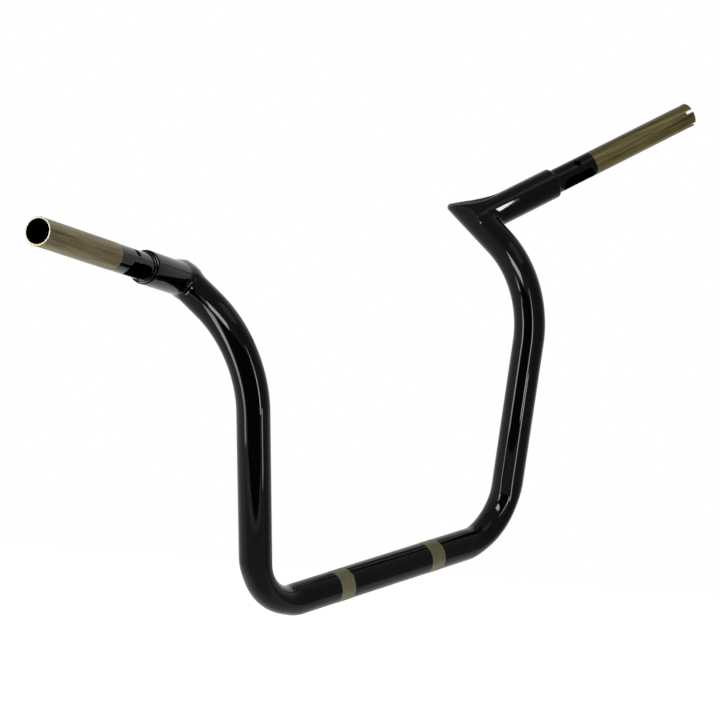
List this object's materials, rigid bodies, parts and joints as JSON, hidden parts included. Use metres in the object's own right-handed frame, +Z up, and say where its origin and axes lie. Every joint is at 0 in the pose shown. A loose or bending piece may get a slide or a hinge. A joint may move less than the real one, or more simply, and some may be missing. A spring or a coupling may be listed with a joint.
{
  "type": "motorcycle handlebar",
  "caption": "Tall welded handlebar of bent steel tube with pointed riser ends, stepped-down grip tubes, wiring slots and bare clamp bands.",
  "frame": {"origin": "middle of the straight base, on the tube's axis", "axes": "+X to the rider's right along the base, +Y forward, +Z up the lower risers"},
  "size_m": [0.9176, 0.1449, 0.4344],
  "materials": {
    "black_coat": "gloss black powder coat",
    "bare_steel": "bare steel with drawing and turning marks"
  },
  "bodies": {
    "root": {"main_tube": "black_coat", "right_sleeve": "black_coat", "right_tip_plug": "black_coat", "right_grip_tube": "bare_steel", "right_joint_weld": "black_coat", "right_collar_weld": "black_coat", "left_sleeve": "black_coat", "left_tip_plug": "black_coat", "left_grip_tube": "bare_steel", "left_joint_weld": "black_coat", "left_collar_weld": "black_coat"}
  },
  "joints": []
}
